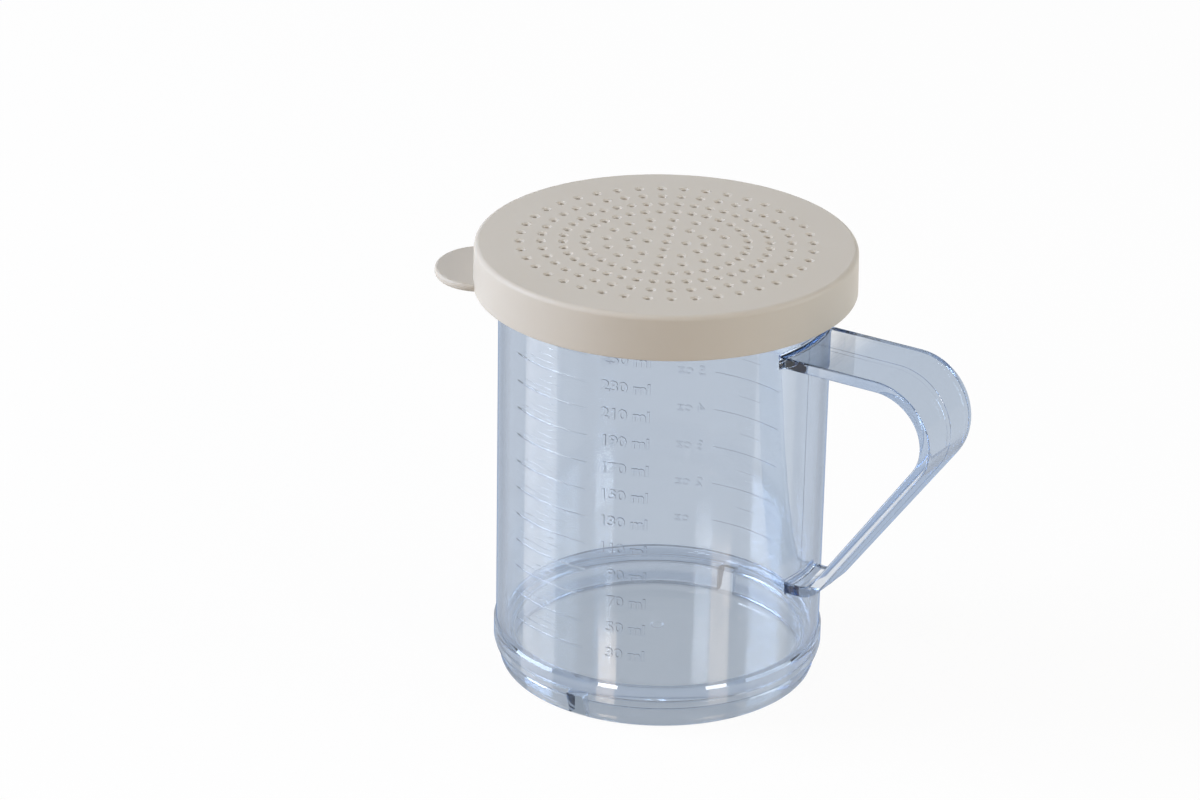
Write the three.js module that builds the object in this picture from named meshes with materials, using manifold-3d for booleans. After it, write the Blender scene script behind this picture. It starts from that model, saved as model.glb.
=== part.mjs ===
// Handled shaker jar with a perforated press-on lid. Units are millimetres, +Z is up.
//
// The jar stands on its foot ring at z = 0 with its handle towards +X. The origin is under the middle of
// the whole object's box, so the jar's own axis lies a little towards -X of it.

import * as THREE from 'three';
import { mergeGeometries, mergeVertices } from 'three/addons/utils/BufferGeometryUtils.js';
import Module from 'manifold-3d';

const wasm = await Module();
wasm.setup();

// Overall: the lid's radius and height, and how far it stands out past the jar's wall
const lidTopRadius = 39.3;
const lidTop = 94.9;
const lidOverhang = 4.9;

// Jar: a straight clear cylinder with a raised floor
const wallThickness = 1.75;
const floorHeight = 8.1;
const floorThickness = 2.4;
const floorFillet = 2.3;

// Bead and foot ring round the floor
const beadProud = 0.45;
const beadTop = 9.6;
const beadBottom = 5.2;
const beadShoulder = 0.5;
const footSetIn = 1.35;
const footHeight = 2.0;
const footEdgeRadius = 1.5;
const footRingWidth = 2.5;
const drainWidth = 4.0;

// Collar that flares out under the lid and carries it
const collarDepth = 9.0;
const flareHeight = 3.0;
const collarWall = 1.75;
const rimEdgeRadius = 0.5;

// Lid: a shallow cap with a slightly drafted skirt
const skirtDepth = 9.5;
const skirtDraft = 0.35;
const skirtWall = 1.5;
const lidThickness = 1.6;
const lidEdgeRadius = 3.0;
const lidInnerFillet = 0.8;

// Shaker holes: two inner rings on one pitch, the outer rings spread evenly over what is left
const holeDiameter = 1.4;
const innerRingPitch = 3.99;
const holeMargin = 9.1;
const innerRingCounts = [4, 12];
const outerRingCounts = [16, 32, 40, 40, 40];

// Thumb tab: a thin half oval growing out of the skirt's lower edge
const tabProud = 8.55;
const tabLength = 9.8;
const tabWidth = 22.2;
const tabThickness = 1.3;

// Handle: one flat strap, level at the top, round the hand, back down in a straight slope
const strapDrop = 3.1;
const strapFootHeight = 26.4;
const strapLegThickness = 2.45;
const strapSlopeThickness = 2.2;
const strapWidthTop = 20.0;
const strapWidthFoot = 11.6;
const handleProud = 32.9;
const gripBendRadius = 12.4;
const gripInnerRadius = 10.1;
const footBendRadius = 6.5;
const footInnerBendRadius = 4.2;

// Raised scale on the wall, millilitres on the -Y side and ounces on the +Y side
const scaleRelief = 0.25;
const scaleLineWidth = 0.4;
const fiveMillilitreStep = 1.495;
const halfOunceStep = 4.42;

// Clearances between neighbours
const seatGap = 0.3;
const lidRunningGap = 0.35;
const overrun = 5.0;

// Angles in degrees, seen from above, measured from the handle
const gripSlope = 54.7;
const holeRowAngle = 24.4;
const tabAngle = 204.4;
const drainAngles = [90, 270];
const scaleArcStep = 8;

// Counts
const roundSegments = 72;
const holeSides = 6;
const edgeSteps = 2;
const filletSteps = 4;
const bendSteps = 9;
const tabSides = 40;

// The lowest scale marks, counted in steps from the floor: 30 millilitres and 1 ounce
const firstMillilitreMark = 6;
const firstOunceMark = 2;

// Angles where each kind of scale mark starts and ends, longest mark first
const millilitreSpans = [[242, 275], [247.5, 261], [254, 263.5], [259, 262]];
const ounceSpans = [[72, 101], [81.5, 90.5]];

// Sizes worked out from the ones above
const wallRadius = lidTopRadius - lidOverhang;
const wallInnerRadius = wallRadius - wallThickness;
const floorUnderside = floorHeight - floorThickness;
const beadRadius = wallRadius + beadProud;
const footRadius = beadRadius - footSetIn;
const footInnerRadius = footRadius - footRingWidth;
const skirtBottom = lidTop - skirtDepth;
const skirtBottomRadius = lidTopRadius + skirtDraft;
const skirtInnerRadius = lidTopRadius - skirtWall;
const lidUnderside = lidTop - lidThickness;
const rimTop = lidUnderside - seatGap;
const collarRadius = skirtInnerRadius - lidRunningGap;
const collarInnerRadius = collarRadius - collarWall;
const flareStart = rimTop - collarDepth;
const flareTop = flareStart + flareHeight;
const flareAngle = Math.atan((collarRadius - wallRadius) / flareHeight);
const strapTop = flareStart - strapDrop;
const handleReach = wallRadius + handleProud;

const radians = THREE.MathUtils.degToRad;

/** Points on a circular arc, from one angle to another, both in degrees. */
function arc(centreX, centreY, radius, from, to, steps) {
  const points = [];
  for (let i = 0; i <= steps; i += 1) {
    const angle = radians(from + ((to - from) * i) / steps);
    points.push(new THREE.Vector2(centreX + radius * Math.cos(angle), centreY + radius * Math.sin(angle)));
  }
  return points;
}

/** A point of an outline. */
function at(x, y) {
  return new THREE.Vector2(x, y);
}

/** A closed geometry as a solid: welded to its positions, with the collapsed triangles at an axis left out. */
function solidOf(geometry) {
  const bare = geometry.clone();
  bare.deleteAttribute('normal');
  bare.deleteAttribute('uv');
  const welded = mergeVertices(bare);
  const corners = [];
  const index = welded.index.array;
  for (let i = 0; i < index.length; i += 3) {
    const [a, b, c] = [index[i], index[i + 1], index[i + 2]];
    if (a !== b && b !== c && c !== a) {
      corners.push(a, b, c);
    }
  }
  return new wasm.Manifold(new wasm.Mesh({
    numProp: 3,
    vertProperties: new Float32Array(welded.attributes.position.array),
    triVerts: new Uint32Array(corners),
  }));
}

/** The mesh of a solid, with a name and a material. */
function meshOf(name, solid, material) {
  const { vertProperties, triVerts } = solid.getMesh();
  const geometry = new THREE.BufferGeometry();
  geometry.setAttribute('position', new THREE.BufferAttribute(vertProperties, 3));
  geometry.setIndex(new THREE.BufferAttribute(triVerts, 1));
  geometry.computeVertexNormals();
  const mesh = new THREE.Mesh(geometry, material);
  mesh.name = name;
  return mesh;
}

/** A profile of (radius, height) points turned about the Z axis. */
function turned(profile) {
  return new THREE.LatheGeometry(profile, roundSegments).rotateX(Math.PI / 2);
}

/** A plain round bar on the Z axis between two heights. */
function bar(radius, bottom, top, sides = roundSegments) {
  return new THREE.CylinderGeometry(radius, radius, top - bottom, sides)
    .rotateX(Math.PI / 2)
    .translate(0, 0, (top + bottom) / 2);
}

/** A box centred on the Z axis in Y, between two X and two Z places. */
function slab(fromX, toX, width, bottom, top) {
  return new THREE.BoxGeometry(toX - fromX, width, top - bottom)
    .translate((fromX + toX) / 2, 0, (bottom + top) / 2);
}

/** Jar profile from the floor's middle over the rim, down the outside and back under the floor. */
function jarProfile() {
  const innerRise = wallThickness * Math.tan(flareAngle / 2);
  return [
    at(0, floorUnderside),
    at(footInnerRadius, floorUnderside),
    at(footInnerRadius, 0),
    ...arc(footRadius - footEdgeRadius, footEdgeRadius, footEdgeRadius, -90, 0, filletSteps),
    at(footRadius, footHeight),
    at(beadRadius, beadBottom),
    at(beadRadius, beadTop - beadShoulder),
    at(wallRadius, beadTop),
    at(wallRadius, flareStart),
    at(collarRadius, flareTop),
    ...arc(collarRadius - rimEdgeRadius, rimTop - rimEdgeRadius, rimEdgeRadius, 0, 90, edgeSteps),
    ...arc(collarInnerRadius + rimEdgeRadius, rimTop - rimEdgeRadius, rimEdgeRadius, 90, 180, edgeSteps),
    at(collarInnerRadius, flareTop + innerRise),
    at(wallInnerRadius, flareStart + innerRise),
    ...arc(wallInnerRadius - floorFillet, floorHeight + floorFillet, floorFillet, 0, -90, filletSteps),
    at(0, floorHeight),
  ];
}

/** One raised line of the scale, as a thin arc standing on the wall. */
function scaleLine([from, to], height) {
  const steps = Math.ceil((to - from) / scaleArcStep);
  const shape = new THREE.Shape([
    ...arc(0, 0, wallRadius + scaleRelief, from, to, steps),
    ...arc(0, 0, wallRadius - scaleRelief, to, from, steps),
  ]);
  return new THREE.ExtrudeGeometry(shape, { depth: scaleLineWidth, bevelEnabled: false })
    .translate(0, 0, height - scaleLineWidth / 2);
}

/** All lines of one scale, a step apart from its first mark up to the collar, with a long line first. */
function scaleLines(spans, step, first) {
  const last = Math.floor((flareStart - scaleLineWidth - floorHeight) / step);
  const lines = [];
  for (let mark = first; mark <= last; mark += 1) {
    lines.push(scaleLine(spans[(mark - first) % spans.length], floorHeight + mark * step));
  }
  return lines;
}

/** The clear jar: turned body, less the drain notches through the foot ring, with its raised scale. */
function buildJar() {
  let jar = solidOf(turned(jarProfile()));
  for (const angle of drainAngles) {
    const notch = slab(footInnerRadius - overrun, beadRadius + overrun, drainWidth, -overrun, floorUnderside)
      .rotateZ(radians(angle));
    jar = jar.subtract(solidOf(notch));
  }
  const lines = [
    ...scaleLines(millilitreSpans, fiveMillilitreStep, firstMillilitreMark),
    ...scaleLines(ounceSpans, halfOunceStep, firstOunceMark),
  ];
  return jar.add(solidOf(mergeGeometries(lines)));
}

/** An outline whose inner corners are rounded: the ends stay, each corner becomes an arc. */
function roundedPath(points, radii) {
  const path = [points[0]];
  radii.forEach((radius, i) => {
    const corner = points[i + 1];
    const back = points[i].clone().sub(corner).normalize();
    const ahead = points[i + 2].clone().sub(corner).normalize();
    const half = back.angleTo(ahead) / 2;
    const middle = back.clone().add(ahead).normalize();
    const centre = corner.clone().addScaledVector(middle, radius / Math.sin(half));
    const start = corner.clone().addScaledVector(back, radius / Math.tan(half)).sub(centre);
    const end = corner.clone().addScaledVector(ahead, radius / Math.tan(half)).sub(centre);
    const turn = Math.atan2(start.cross(end), start.dot(end));
    for (let step = 0; step <= bendSteps; step += 1) {
      path.push(start.clone().rotateAround(at(0, 0), (turn * step) / bendSteps).add(centre));
    }
  });
  path.push(points[points.length - 1]);
  return path;
}

/** One side of the strap, seen along Y, set in from its outer side by a depth on the legs and the slope. */
function strapSide(legDepth, slopeDepth, bendRadii) {
  const slope = radians(gripSlope);
  const cornerX = handleReach - gripBendRadius + gripBendRadius / Math.tan(slope / 2);
  const top = strapTop - legDepth;
  const foot = strapFootHeight + legDepth;
  const upperX = cornerX - slopeDepth / Math.sin(slope) - legDepth / Math.tan(slope);
  const lowerX = upperX - (top - foot) / Math.tan(slope);
  return roundedPath([at(0, top), at(upperX, top), at(lowerX, foot), at(0, foot)], bendRadii);
}

/** Prism that holds the strap between two side faces leaning in from its top to its foot. */
function strapTaper() {
  const widthSlope = (strapWidthTop - strapWidthFoot) / (strapTop - strapFootHeight);
  const upper = strapTop + overrun;
  const lower = strapFootHeight - overrun;
  const upperHalf = (strapWidthTop + widthSlope * (upper - strapTop)) / 2;
  const lowerHalf = (strapWidthTop + widthSlope * (lower - strapTop)) / 2;
  const shape = new THREE.Shape([
    at(-lowerHalf, lower),
    at(lowerHalf, lower),
    at(upperHalf, upper),
    at(-upperHalf, upper),
  ]);
  return new THREE.ExtrudeGeometry(shape, { depth: handleReach + overrun, bevelEnabled: false })
    .rotateX(Math.PI / 2)
    .rotateZ(Math.PI / 2);
}

/** The strap handle, ending at the wall. */
function buildHandle() {
  const outer = strapSide(0, 0, [gripBendRadius, footBendRadius]);
  const inner = strapSide(strapLegThickness, strapSlopeThickness, [gripInnerRadius, footInnerBendRadius]);
  const depth = strapWidthTop + overrun;
  const strap = new THREE.ExtrudeGeometry(new THREE.Shape([...outer, ...inner.reverse()]), {
    depth,
    bevelEnabled: false,
  })
    .rotateX(Math.PI / 2)
    .translate(0, depth / 2, 0);
  const jarSpace = bar(wallRadius + seatGap, 0, lidTop);
  return solidOf(strap).intersect(solidOf(strapTaper())).subtract(solidOf(jarSpace));
}

/** Lid profile from the underside's middle, down inside the skirt and back over the top. */
function lidProfile() {
  const inner = skirtInnerRadius;
  return [
    at(0, lidUnderside),
    ...arc(inner - lidInnerFillet, lidUnderside - lidInnerFillet, lidInnerFillet, 90, 0, edgeSteps),
    at(inner, skirtBottom),
    at(skirtBottomRadius, skirtBottom),
    ...arc(lidTopRadius - lidEdgeRadius, lidTop - lidEdgeRadius, lidEdgeRadius, 0, 90, filletSteps),
    at(0, lidTop),
  ];
}

/** The shaker holes, as bars through the lid's top: the middle one and every ring around it. */
function shakerHoles() {
  const hole = bar(holeDiameter / 2, lidUnderside - seatGap, lidTop + overrun, holeSides);
  const holes = [hole.clone()];
  const innerEdge = innerRingPitch * innerRingCounts.length;
  const outerRingPitch = (lidTopRadius - holeMargin - innerEdge) / outerRingCounts.length;
  const rings = [
    ...innerRingCounts.map((count, i) => ({ count, radius: innerRingPitch * (i + 1) })),
    ...outerRingCounts.map((count, i) => ({ count, radius: innerEdge + outerRingPitch * (i + 1) })),
  ];
  for (const { count, radius } of rings) {
    for (let i = 0; i < count; i += 1) {
      const angle = radians(holeRowAngle) + (2 * Math.PI * i) / count;
      holes.push(hole.clone().translate(radius * Math.cos(angle), radius * Math.sin(angle), 0));
    }
  }
  return mergeGeometries(holes);
}

/** The thumb tab, as a whole oval plate whose inner half lies in the skirt. */
function thumbTab() {
  const centre = skirtBottomRadius + tabProud - tabLength;
  const oval = new THREE.Shape().absellipse(centre, 0, tabLength, tabWidth / 2, 0, 2 * Math.PI);
  return new THREE.ExtrudeGeometry(new THREE.Shape(oval.getPoints(tabSides)), {
    depth: tabThickness,
    bevelEnabled: false,
  })
    .translate(0, 0, skirtBottom)
    .rotateZ(radians(tabAngle));
}

/** The press-on lid: cap with its skirt, thumb tab and shaker holes. */
function buildLid() {
  const insideSkirt = bar(skirtInnerRadius + skirtWall / 2, skirtBottom - overrun, lidTop);
  const tab = solidOf(thumbTab()).subtract(solidOf(insideSkirt));
  return solidOf(turned(lidProfile())).add(tab).subtract(solidOf(shakerHoles()));
}

const clearPlastic = new THREE.MeshStandardMaterial({
  color: 0xbccbdb,
  roughness: 0.08,
  metalness: 0,
  transparent: true,
  opacity: 0.45,
});
const beigePlastic = new THREE.MeshStandardMaterial({ color: 0xc9c1b4, roughness: 0.5, metalness: 0 });

const shaker = new THREE.Group();
shaker.add(meshOf('jar_body', buildJar(), clearPlastic));
shaker.add(meshOf('handle', buildHandle(), clearPlastic));
shaker.add(meshOf('lid', buildLid(), beigePlastic));

// The origin is under the middle of the box in X
const extent = new THREE.Box3().setFromObject(shaker);
shaker.position.x = -(extent.min.x + extent.max.x) / 2;

export default shaker;
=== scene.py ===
"""Clear handled shaker jar with a beige perforated press-on lid, on a white table in soft studio light.

Shapes are worked out in millimetres about the jar's own axis, and put into the CAD frame, in metres, when a
piece is finished. The jar's clear moulding (wall, foot, collar, strap handle and raised scales) is one piece
of plastic, as the real one is. The lid is the other piece.
"""

import logging
import math
from collections.abc import Callable, Mapping, Sequence
from dataclasses import dataclass, field
from enum import Enum

import bmesh
import bpy
from mathutils import Matrix, Vector

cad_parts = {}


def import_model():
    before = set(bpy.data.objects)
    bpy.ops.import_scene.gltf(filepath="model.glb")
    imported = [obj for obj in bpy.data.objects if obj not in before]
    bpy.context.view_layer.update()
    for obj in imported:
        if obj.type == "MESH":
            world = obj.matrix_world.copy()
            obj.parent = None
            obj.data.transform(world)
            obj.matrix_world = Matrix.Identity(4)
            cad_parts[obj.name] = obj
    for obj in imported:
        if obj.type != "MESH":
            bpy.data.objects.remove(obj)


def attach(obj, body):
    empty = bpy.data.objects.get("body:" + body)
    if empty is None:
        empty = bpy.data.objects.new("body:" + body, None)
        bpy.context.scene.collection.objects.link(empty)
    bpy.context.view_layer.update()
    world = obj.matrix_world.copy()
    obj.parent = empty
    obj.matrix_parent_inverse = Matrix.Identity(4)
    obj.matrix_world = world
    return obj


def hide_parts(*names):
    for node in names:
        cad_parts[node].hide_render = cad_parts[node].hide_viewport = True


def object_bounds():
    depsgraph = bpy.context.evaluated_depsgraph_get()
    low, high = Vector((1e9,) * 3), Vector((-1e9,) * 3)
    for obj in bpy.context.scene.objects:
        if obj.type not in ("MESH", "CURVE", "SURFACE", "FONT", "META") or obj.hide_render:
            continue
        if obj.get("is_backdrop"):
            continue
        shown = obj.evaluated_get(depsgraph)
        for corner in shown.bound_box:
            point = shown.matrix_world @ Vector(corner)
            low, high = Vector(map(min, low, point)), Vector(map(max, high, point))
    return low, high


log = logging.getLogger("shaker")

# Metres in a millimetre.
MILLIMETRE = 0.001
# Points nearer to each other than this, in millimetres, are one point.
WELD = 1e-4
# From the jar's axis to the far side of the grip in the CAD, and the room left there for the parting line.
HANDLE_REACH = 67.3
SEAM_ROOM = 0.06
# Half the width of the moulding's parting line, and how far it stands out.
SEAM_HALF = 0.07
SEAM_HEIGHT = 0.05
# A face looks up, down or sideways where its normal's part in that direction is past this.
MOSTLY = 0.8
# Segments of a small rounded edge.
EDGE_STEPS = 3

Colour = tuple[float, float, float]
Socket = bpy.types.NodeSocket
Value = float | Colour | Socket

WHITE: Colour = (1.0, 1.0, 1.0)


class Body(Enum):
    """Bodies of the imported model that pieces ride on."""

    JAR = "jar"
    LID = "lid"


class Slot(Enum):
    """Material slots of the record."""

    CLEAR = "clear_plastic"
    BEIGE = "beige_plastic"


class Side(Enum):
    """Which way a bisecting cut's plane faces."""

    ACROSS = (0.0, 1.0, 0.0)
    ALONG = (1.0, 0.0, 0.0)


@dataclass(frozen=True)
class Corner:
    """One corner of an outline in the XZ plane, in millimetres.

    Args:
        across: distance from the jar's axis.
        up: height.
        rounding: radius of the arc that rounds the corner off.
    """

    across: float
    up: float
    rounding: float = 0.0

    def point(self) -> Vector:
        """The corner's place."""
        return Vector((self.across, 0.0, self.up))


def polar(radius: float, degrees: float, up: float = 0.0) -> Vector:
    """A point from its distance to the axis, its azimuth and its height."""
    angle = math.radians(degrees)
    return Vector((radius * math.cos(angle), radius * math.sin(angle), up))


def turned_about_axis(degrees: float) -> Matrix:
    """Rotation about the jar's axis."""
    return Matrix.Rotation(math.radians(degrees), 4, "Z")


def put_in_scene(name: str, data: bpy.types.ID) -> bpy.types.Object:
    """Makes an object of some data and links it to the scene.

    Args:
        name: the object's name.
        data: its mesh, letters, lamp or camera.

    Returns:
        The new object.
    """
    made = bpy.data.objects.new(name, data)
    bpy.context.scene.collection.objects.link(made)
    return made


class Workpiece:
    """A mesh being shaped with bmesh operators, in millimetres about the jar's axis."""

    def __init__(self) -> None:
        """Starts with no geometry."""
        self.mesh = bmesh.new()

    @staticmethod
    def block(size: Sequence[float], middle: Sequence[float]) -> "Workpiece":
        """Makes a rectangular block.

        Args:
            size: lengths of its sides along X, Y and Z.
            middle: the place of its middle.

        Returns:
            The block.
        """
        made = Workpiece()
        bmesh.ops.create_cube(made.mesh, size=1.0)
        made.transform(Matrix.Diagonal((*size, 1.0)))
        made.transform(Matrix.Translation(middle))
        return made

    def outline(self, corners: Sequence[Corner], steps: int) -> None:
        """Makes a flat face in the XZ plane and rounds its corners.

        Args:
            corners: corners in order round the outline.
            steps: segments of each rounded corner.
        """
        points = [corner.point() for corner in corners]
        ends: list[tuple[bmesh.types.BMVert, bmesh.types.BMVert]] = []
        for index, corner in enumerate(corners):
            ahead = points[(index + 1) % len(points)]
            ends.append(self.round_corner(corner, points[index - 1], ahead, steps))
        for index, (start, _) in enumerate(ends):
            self.mesh.edges.new((ends[index - 1][1], start))
        bmesh.ops.contextual_create(self.mesh, geom=self.mesh.edges[:])

    def round_corner(
        self, corner: Corner, before: Vector, after: Vector, steps: int
    ) -> tuple[bmesh.types.BMVert, bmesh.types.BMVert]:
        """Makes one corner of an outline, sharp or rounded.

        Args:
            corner: the corner.
            before: the place of the corner before it.
            after: the place of the corner after it.
            steps: segments of the arc.

        Returns:
            The corner's first and last points, which are the same where it is sharp.
        """
        place = corner.point()
        if not corner.rounding:
            vert = self.mesh.verts.new(place)
            return vert, vert
        back = (before - place).normalized()
        ahead = (after - place).normalized()
        half = back.angle(ahead) / 2
        reach = corner.rounding / math.tan(half)
        centre = place + (back + ahead).normalized() * (corner.rounding / math.sin(half))
        start = self.mesh.verts.new(place + back * reach)
        side = (start.co - centre).cross(place + ahead * reach - centre).y
        arc = bmesh.ops.spin(
            self.mesh,
            geom=[start],
            cent=centre,
            axis=(0, 1, 0),
            angle=math.copysign(math.pi - 2 * half, side),
            steps=steps,
        )
        return start, next(item for item in arc["geom_last"] if isinstance(item, bmesh.types.BMVert))

    def turn(self, segments: int) -> None:
        """Turns the outline a full circle about the axis into a closed solid.

        Args:
            segments: segments of the circle.
        """
        bmesh.ops.delete(self.mesh, geom=self.mesh.faces[:], context="FACES_ONLY")
        on_axis = [e for e in self.mesh.edges if all(abs(v.co.x) < WELD for v in e.verts)]
        bmesh.ops.delete(self.mesh, geom=on_axis, context="EDGES")
        self.spin(math.tau, segments, True)

    def sweep(self, degrees: float, steps: int) -> None:
        """Sweeps the outline part of the way round the axis into a closed solid."""
        self.spin(math.radians(degrees), steps, False)

    def spin(self, angle: float, steps: int, meets: bool) -> None:
        """Spins everything round the axis and closes the solid.

        Args:
            angle: how far, in radians.
            steps: segments of the spin.
            meets: whether its end meets its start.
        """
        bmesh.ops.spin(
            self.mesh,
            geom=self.everything(),
            cent=(0, 0, 0),
            axis=(0, 0, 1),
            angle=angle,
            steps=steps,
            use_merge=meets,
        )
        self.close()

    def everything(self) -> list[bmesh.types.BMVert | bmesh.types.BMEdge | bmesh.types.BMFace]:
        """All points, edges and faces."""
        return self.mesh.verts[:] + self.mesh.edges[:] + self.mesh.faces[:]

    def extrude(self, offset: Vector) -> None:
        """Extrudes every face along an offset and closes the solid.

        Args:
            offset: how far, and which way.
        """
        grown = bmesh.ops.extrude_face_region(self.mesh, geom=self.mesh.faces[:], use_keep_orig=True)
        moved = [item for item in grown["geom"] if isinstance(item, bmesh.types.BMVert)]
        bmesh.ops.translate(self.mesh, vec=offset, verts=moved)
        self.close()

    def slice(self, side: Side, place: float) -> None:
        """Adds a loop of edges where a plane crosses the solid, without parting it.

        Args:
            side: which way the plane faces.
            place: its distance from the jar's axis.
        """
        normal = Vector(side.value)
        bmesh.ops.bisect_plane(self.mesh, geom=self.everything(), plane_co=normal * place, plane_no=normal)

    def round_edges(self, edges: Sequence[bmesh.types.BMEdge], radius: float) -> None:
        """Rounds some edges off.

        Args:
            edges: the edges.
            radius: how far from each edge the rounding begins.
        """
        bmesh.ops.bevel(
            self.mesh,
            geom=list(edges),
            offset=radius,
            offset_type="OFFSET",
            segments=EDGE_STEPS,
            profile=0.5,
            affect="EDGES",
            material=-1,
            clamp_overlap=False,
        )

    def transform(self, matrix: Matrix) -> None:
        """Moves, turns or scales the whole solid."""
        bmesh.ops.transform(self.mesh, matrix=matrix, verts=self.mesh.verts[:])

    def close(self) -> None:
        """Merges doubles and turns every face outwards."""
        bmesh.ops.remove_doubles(self.mesh, verts=self.mesh.verts[:], dist=WELD)
        bmesh.ops.recalc_face_normals(self.mesh, faces=self.mesh.faces[:])

    def add(self, other: "Workpiece") -> None:
        """Takes over another piece's mesh as it stands, beside this one's.

        Args:
            other: the other piece, which is used up.
        """
        data = bpy.data.meshes.new("taken")
        other.mesh.to_mesh(data)
        other.mesh.free()
        self.mesh.from_mesh(data)
        bpy.data.meshes.remove(data)

    def finish(self, name: str) -> bpy.types.Object:
        """Turns the mesh into an object in the scene.

        Args:
            name: the object's name.

        Returns:
            The new object, still in millimetres about the jar's axis.
        """
        data = bpy.data.meshes.new(name)
        self.mesh.to_mesh(data)
        self.mesh.free()
        return put_in_scene(name, data)


class Joinery:
    """Boolean work between finished objects."""

    @staticmethod
    def combine(base: bpy.types.Object, tool: bpy.types.Object, operation: str) -> None:
        """Applies a Boolean to an object's mesh and drops the tool.

        Args:
            base: the object that is kept.
            tool: the object that is added or cut away.
            operation: UNION or DIFFERENCE.
        """
        step = base.modifiers.new("join", "BOOLEAN")
        step.operation = operation
        step.object = tool
        step.solver = "EXACT"
        step.material_mode = "TRANSFER"
        Joinery.bake(base)
        bpy.data.objects.remove(tool)

    @staticmethod
    def bake(base: bpy.types.Object) -> None:
        """Replaces an object's mesh by its evaluated one.

        Args:
            base: the object.
        """
        graph = bpy.context.evaluated_depsgraph_get()
        baked = bpy.data.meshes.new_from_object(base.evaluated_get(graph))
        old = base.data
        base.modifiers.clear()
        base.data = baked
        baked.name = base.name
        bpy.data.meshes.remove(old)


@dataclass(frozen=True)
class Smoothing:
    """How a finished mesh is shaded.

    Args:
        crease: angle in degrees past which an edge stays sharp.
        round_walls: radii, in millimetres, of walls whose shading is made exactly round.
        wall_tolerance: how far from such a radius a face's corners may lie.
        upright_tolerance: how far such a face's normal may lean up or down.
    """

    crease: float = 35.0
    round_walls: tuple[float, ...] = ()
    wall_tolerance: float = 0.012
    upright_tolerance: float = 0.05

    def apply(
        self, piece: bpy.types.Object, ridges: Callable[[Sequence[Vector]], list[Vector]] | None = None
    ) -> None:
        """Shades the piece smooth, with sharp creases and exactly round walls and ridges.

        Args:
            piece: the object, still about the jar's axis.
            ridges: gives the exact normals of a face that lies on a ridge, and nothing for any other.
        """
        piece.data.shade_smooth()
        piece.data.set_sharp_from_angle(angle=math.radians(self.crease))
        piece.modifiers.new("weigh", "WEIGHTED_NORMAL").keep_sharp = True
        Joinery.bake(piece)
        data = piece.data
        normals = [Vector(corner.vector) for corner in data.corner_normals]
        for face in data.polygons:
            spots = [data.vertices[index].co for index in face.vertices]
            exact = ridges(spots) if ridges else []
            for place, normal in enumerate(exact or self.wall_normals(face, spots)):
                normals[face.loop_start + place] = normal
        data.normals_split_custom_set(normals)

    def wall_normals(self, face: bpy.types.MeshPolygon, spots: Sequence[Vector]) -> list[Vector]:
        """Exact normals at a face's corners, if it lies on a round wall.

        Args:
            face: the face.
            spots: its corners.

        Returns:
            One normal a corner, or nothing where the face is not part of such a wall.
        """
        if abs(face.normal.z) > self.upright_tolerance:
            return []
        for wall in self.round_walls:
            if all(abs(math.hypot(spot.x, spot.y) - wall) < self.wall_tolerance for spot in spots):
                outwards = 1.0 if face.normal.xy.dot(face.center.xy) > 0 else -1.0
                return [Vector((spot.x, spot.y, 0.0)).normalized() * outwards for spot in spots]
        return []


@dataclass(frozen=True)
class Bench:
    """The place of the jar's axis in the CAD frame, in metres."""

    axis_x: float
    axis_y: float

    @staticmethod
    def from_frame(low: Sequence[float], high: Sequence[float]) -> "Bench":
        """Finds the axis in the CAD's box, whose far side is the handle's grip.

        Args:
            low: the box's low corner.
            high: the box's high corner.

        Returns:
            The place of the axis.
        """
        return Bench(high[0] - HANDLE_REACH * MILLIMETRE, (low[1] + high[1]) / 2)

    def place(self, piece: bpy.types.Object) -> None:
        """Puts a piece made in millimetres about the axis into the CAD frame.

        Args:
            piece: the piece.
        """
        move = Matrix.Translation((self.axis_x, self.axis_y, 0.0)) @ Matrix.Scale(MILLIMETRE, 4)
        normals = [Vector(corner.vector) for corner in piece.data.corner_normals]
        piece.data.transform(move)
        piece.data.normals_split_custom_set(normals)
        piece.data.update()

    def point(self, place: Vector) -> Vector:
        """The same point in the CAD frame, in metres."""
        return place * MILLIMETRE + Vector((self.axis_x, self.axis_y, 0.0))


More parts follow.
